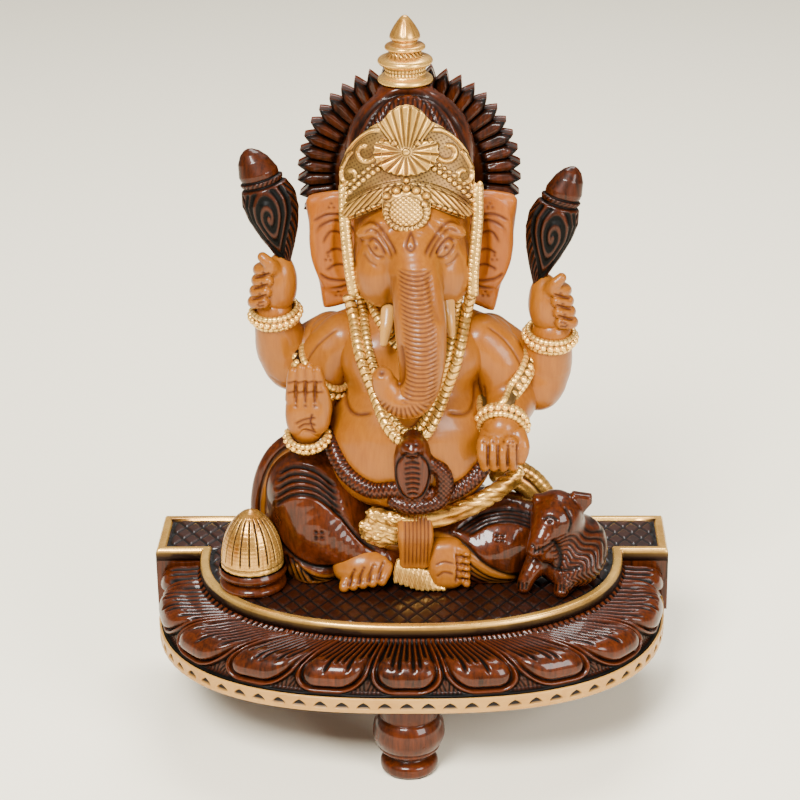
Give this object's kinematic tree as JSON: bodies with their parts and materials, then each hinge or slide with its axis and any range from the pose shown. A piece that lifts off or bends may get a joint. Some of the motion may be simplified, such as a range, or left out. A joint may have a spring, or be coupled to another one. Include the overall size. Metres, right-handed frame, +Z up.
{
  "type": "seated elephant-headed deity idol",
  "caption": "Carved and lacquered wooden Ganesha idol, seated on a footed lotus plinth with a mouse and a covered sweet bowl beside it.",
  "frame": {"origin": "middle of the plinth's box in plan, on the surface that the feet stand on", "axes": "+Z up, the figure faces -Y, +X to the viewer's right as they face it"},
  "size_m": [0.167, 0.094, 0.2256],
  "materials": {
    "dark_wood": "stained dark red-brown and glossy lacquered",
    "deck_wood": "stained dark brown, lacquered, with cross-hatched grooves",
    "cream_paint": "pale cream-gold painted wood with dark notches",
    "gold_paint": "antique gold paint over carved wood, dark in the cuts",
    "light_wood": "honey-tan stained wood, semi-gloss lacquer",
    "ear_wood": "orange-tan stained wood, semi-gloss lacquer",
    "tusk_wood": "pale cream painted wood, glossy",
    "dowel_wood": "bare hardwood dowel",
    "steel": "zinc-plated screw"
  },
  "bodies": {
    "root": {"plinth_core": "dark_wood", "lotus_petal_ring": "dark_wood", "rim_band": "cream_paint", "deck_trim": "gold_paint", "deck_panel": "deck_wood", "front_foot": "dark_wood", "rear_foot_right": "dark_wood", "rear_foot_left": "dark_wood", "foot_dowels": "dowel_wood", "figure_screws": "steel", "seat_block": "dark_wood", "right_leg": "dark_wood", "left_leg": "dark_wood", "right_bare_foot": "light_wood", "left_bare_foot": "light_wood", "right_cloth_flap": "dark_wood", "left_cloth_flap": "gold_paint", "waist_band": "gold_paint", "front_sash": "light_wood", "sash_tassels": "gold_paint", "torso": "light_wood", "snake_belt": "dark_wood", "cobra_hood": "dark_wood", "necklace_garland": "gold_paint", "necklace_choker": "gold_paint", "front_right_arm": "light_wood", "front_right_palm": "light_wood", "front_left_arm": "light_wood", "front_left_hand": "light_wood", "rear_right_arm": "light_wood", "rear_right_fist": "light_wood", "rear_left_arm": "light_wood", "rear_left_fist": "light_wood", "armlets": "gold_paint", "bangles": "gold_paint", "right_conch": "dark_wood", "left_conch": "dark_wood", "head": "light_wood", "trunk": "light_wood", "right_ear": "ear_wood", "left_ear": "ear_wood", "tusks": "tusk_wood", "crown_plate": "gold_paint", "crown_cap": "dark_wood", "bead_strands": "gold_paint", "finial": "gold_paint", "finial_dowel": "dowel_wood", "halo": "dark_wood", "halo_dowels": "dowel_wood", "offering_bowl": "dark_wood", "sweet_dome": "gold_paint", "mouse": "dark_wood"}
  },
  "joints": []
}
